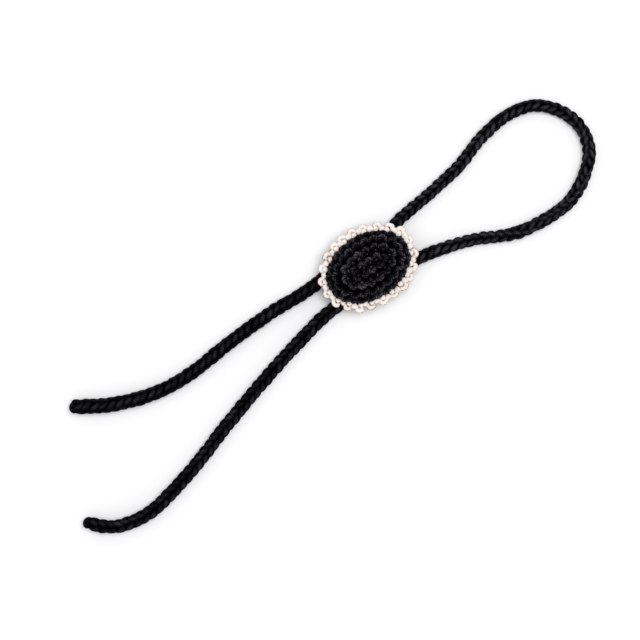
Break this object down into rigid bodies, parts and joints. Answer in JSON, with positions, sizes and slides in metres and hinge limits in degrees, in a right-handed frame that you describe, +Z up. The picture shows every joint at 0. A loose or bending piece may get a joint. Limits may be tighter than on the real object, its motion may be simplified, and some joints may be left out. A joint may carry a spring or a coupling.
{
  "type": "crochet bolo tie",
  "caption": "Soft bolo tie: a stuffed oval crochet slide with a picot edging, riding on one thick round crochet cord with a neck loop and two bare tails.",
  "frame": {"origin": "on the surface that the tie lies on, under the middle of the slide", "axes": "+Z up, out of the slide's face; +Y along the slide's long side towards the neck loop; +X across the slide"},
  "size_m": [0.1139, 0.4662, 0.0334],
  "materials": {
    "black_yarn": "matt crochet in near-black yarn",
    "cord_yarn": "matt braided crochet in near-black yarn",
    "cream_yarn": "soft matt crochet in warm cream yarn",
    "black_band": "matt woven band"
  },
  "bodies": {
    "root": {"dome": "black_yarn", "back": "black_yarn", "picot_edging": "cream_yarn", "cord_keeper": "black_band", "cord": "cord_yarn"}
  },
  "joints": []
}
